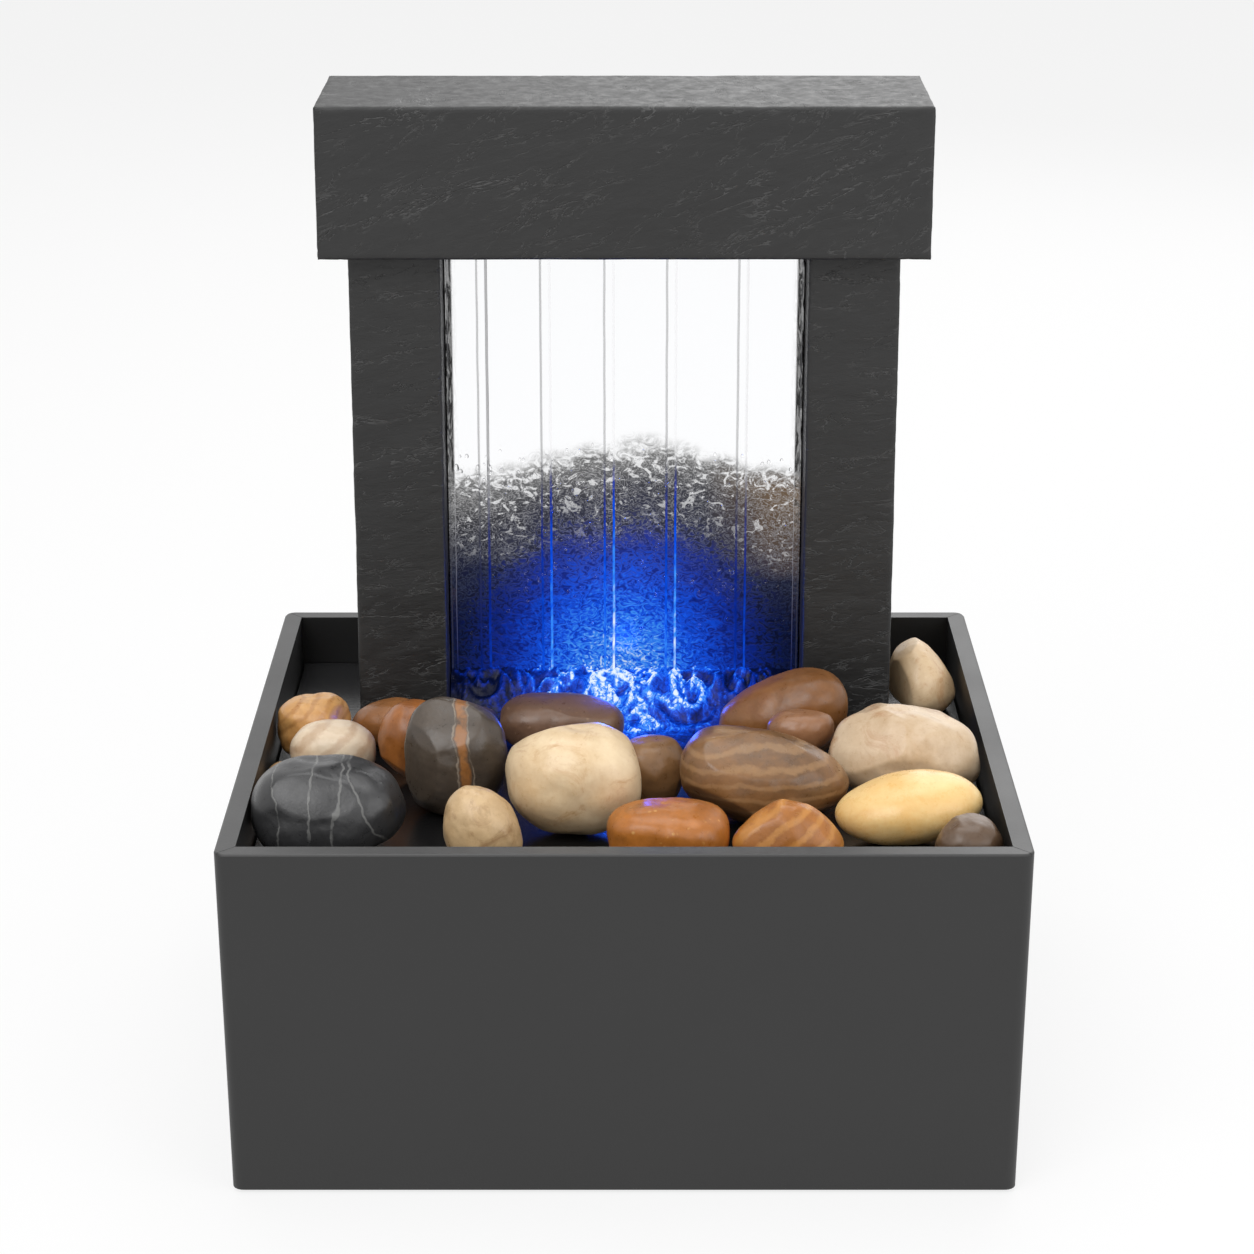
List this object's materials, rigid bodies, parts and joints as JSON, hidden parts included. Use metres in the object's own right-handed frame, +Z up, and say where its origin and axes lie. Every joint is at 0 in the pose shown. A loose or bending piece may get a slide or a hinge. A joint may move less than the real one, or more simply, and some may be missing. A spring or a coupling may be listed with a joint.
{
  "type": "tabletop water fountain",
  "caption": "Tabletop fountain: tapered basin with pebbles on a deck, a pump, and a portal with a ribbed clear panel lit from below that water runs down.",
  "frame": {"origin": "on the table, under the centre of the basin", "axes": "+Z up, +X to the right seen from the front, +Y to the rear"},
  "size_m": [0.2, 0.184, 0.2558],
  "materials": {
    "satin_black": "satin moulded resin",
    "slate_black": "slate-textured resin, satin",
    "deck_black": "satin, wet",
    "trough_black": "matt",
    "clear_acrylic": "polished clear acrylic",
    "clear_vinyl": "clear flexible vinyl",
    "black_rubber": "matt rubber",
    "grey_foam": "open-cell foam",
    "stainless_steel": "stainless",
    "pump_black": "moulded, semi-gloss",
    "dial_grey": "moulded",
    "white_plastic": "moulded",
    "ferrite": "ferrite magnet",
    "white_ceramic": "polished ceramic",
    "board_green": "solder mask",
    "lit_lens": "clear lens, lit blue",
    "lit_chip": "lit LED package",
    "lead_black": "PVC insulation",
    "stone_charcoal": "polished pebble, pale veins",
    "stone_cream": "polished pebble, brown stains",
    "stone_tan": "polished pebble",
    "stone_yellow": "polished pebble",
    "stone_brown": "polished pebble, banded",
    "stone_orange": "polished pebble",
    "stone_mauve": "polished pebble"
  },
  "bodies": {
    "fountain": {"basin": "satin_black", "cable_gland": "black_rubber", "distribution_trough": "trough_black", "filter_sponge": "grey_foam", "lead_splice": "lead_black", "led_board": "board_green", "led_chips": "lit_chip", "led_gasket": "black_rubber", "led_housing": "pump_black", "led_lead": "lead_black", "led_lens": "lit_lens", "led_screws": "stainless_steel", "led_spacer": "white_plastic", "left_pillar": "slate_black", "outlet_adapter": "pump_black", "panel_edge_seals": "clear_vinyl", "pebble_banded": "stone_brown", "pebble_brown_large": "stone_brown", "pebble_brown_left": "stone_brown", "pebble_brown_rear": "stone_brown", "pebble_charcoal": "stone_charcoal", "pebble_cream_rear": "stone_cream", "pebble_cream_round": "stone_cream", "pebble_cream_veined": "stone_cream", "pebble_dark_brown": "stone_brown", "pebble_mauve_flat": "stone_mauve", "pebble_mottled": "stone_cream", "pebble_orange_brown": "stone_orange", "pebble_orange_rear": "stone_tan", "pebble_pale_yellow": "stone_yellow", "pebble_pink_small": "stone_mauve", "pebble_pyramid": "stone_orange", "pebble_small_mauve": "stone_mauve", "pebble_small_tan": "stone_tan", "pebble_speckled": "stone_orange", "pebble_submerged": "stone_mauve", "pebble_tan_round": "stone_tan", "pebble_tan_triangle": "stone_tan", "pump_housing": "pump_black", "pump_lead": "lead_black", "right_pillar": "slate_black", "rotor_shaft": "white_ceramic", "rubber_feet": "black_rubber", "shaft_bushes": "black_rubber", "stone_deck": "deck_black", "suction_cups": "black_rubber", "supply_tube": "clear_vinyl", "trough_screws": "stainless_steel", "tube_grommet": "black_rubber", "volute_plate": "pump_black", "waterfall_panel": "clear_acrylic"},
    "header": {"header_cover": "slate_black", "header_pads": "grey_foam"},
    "rotor": {"rotor_magnet": "ferrite", "impeller": "white_plastic"},
    "intake": {"intake_cover": "pump_black"},
    "dial": {"flow_dial": "dial_grey"}
  },
  "joints": [
    {"name": "header_lift", "type": "slide", "parent": "fountain", "child": "header", "axis": [0, 0, 1], "range_m": [0, 0.06]},
    {"name": "rotor_spin", "type": "hinge", "parent": "fountain", "child": "rotor", "pos_m": [0.0626, 0.0478, 0.027], "axis": [0, 1, 0], "continuous": true},
    {"name": "intake_pull", "type": "slide", "parent": "fountain", "child": "intake", "axis": [0, -1, 0], "range_m": [0, 0.02]},
    {"name": "dial_turn", "type": "hinge", "parent": "intake", "child": "dial", "pos_m": [0.0626, 0.0238, 0.027], "axis": [0, -1, 0], "range_deg": [0, 90]}
  ]
}
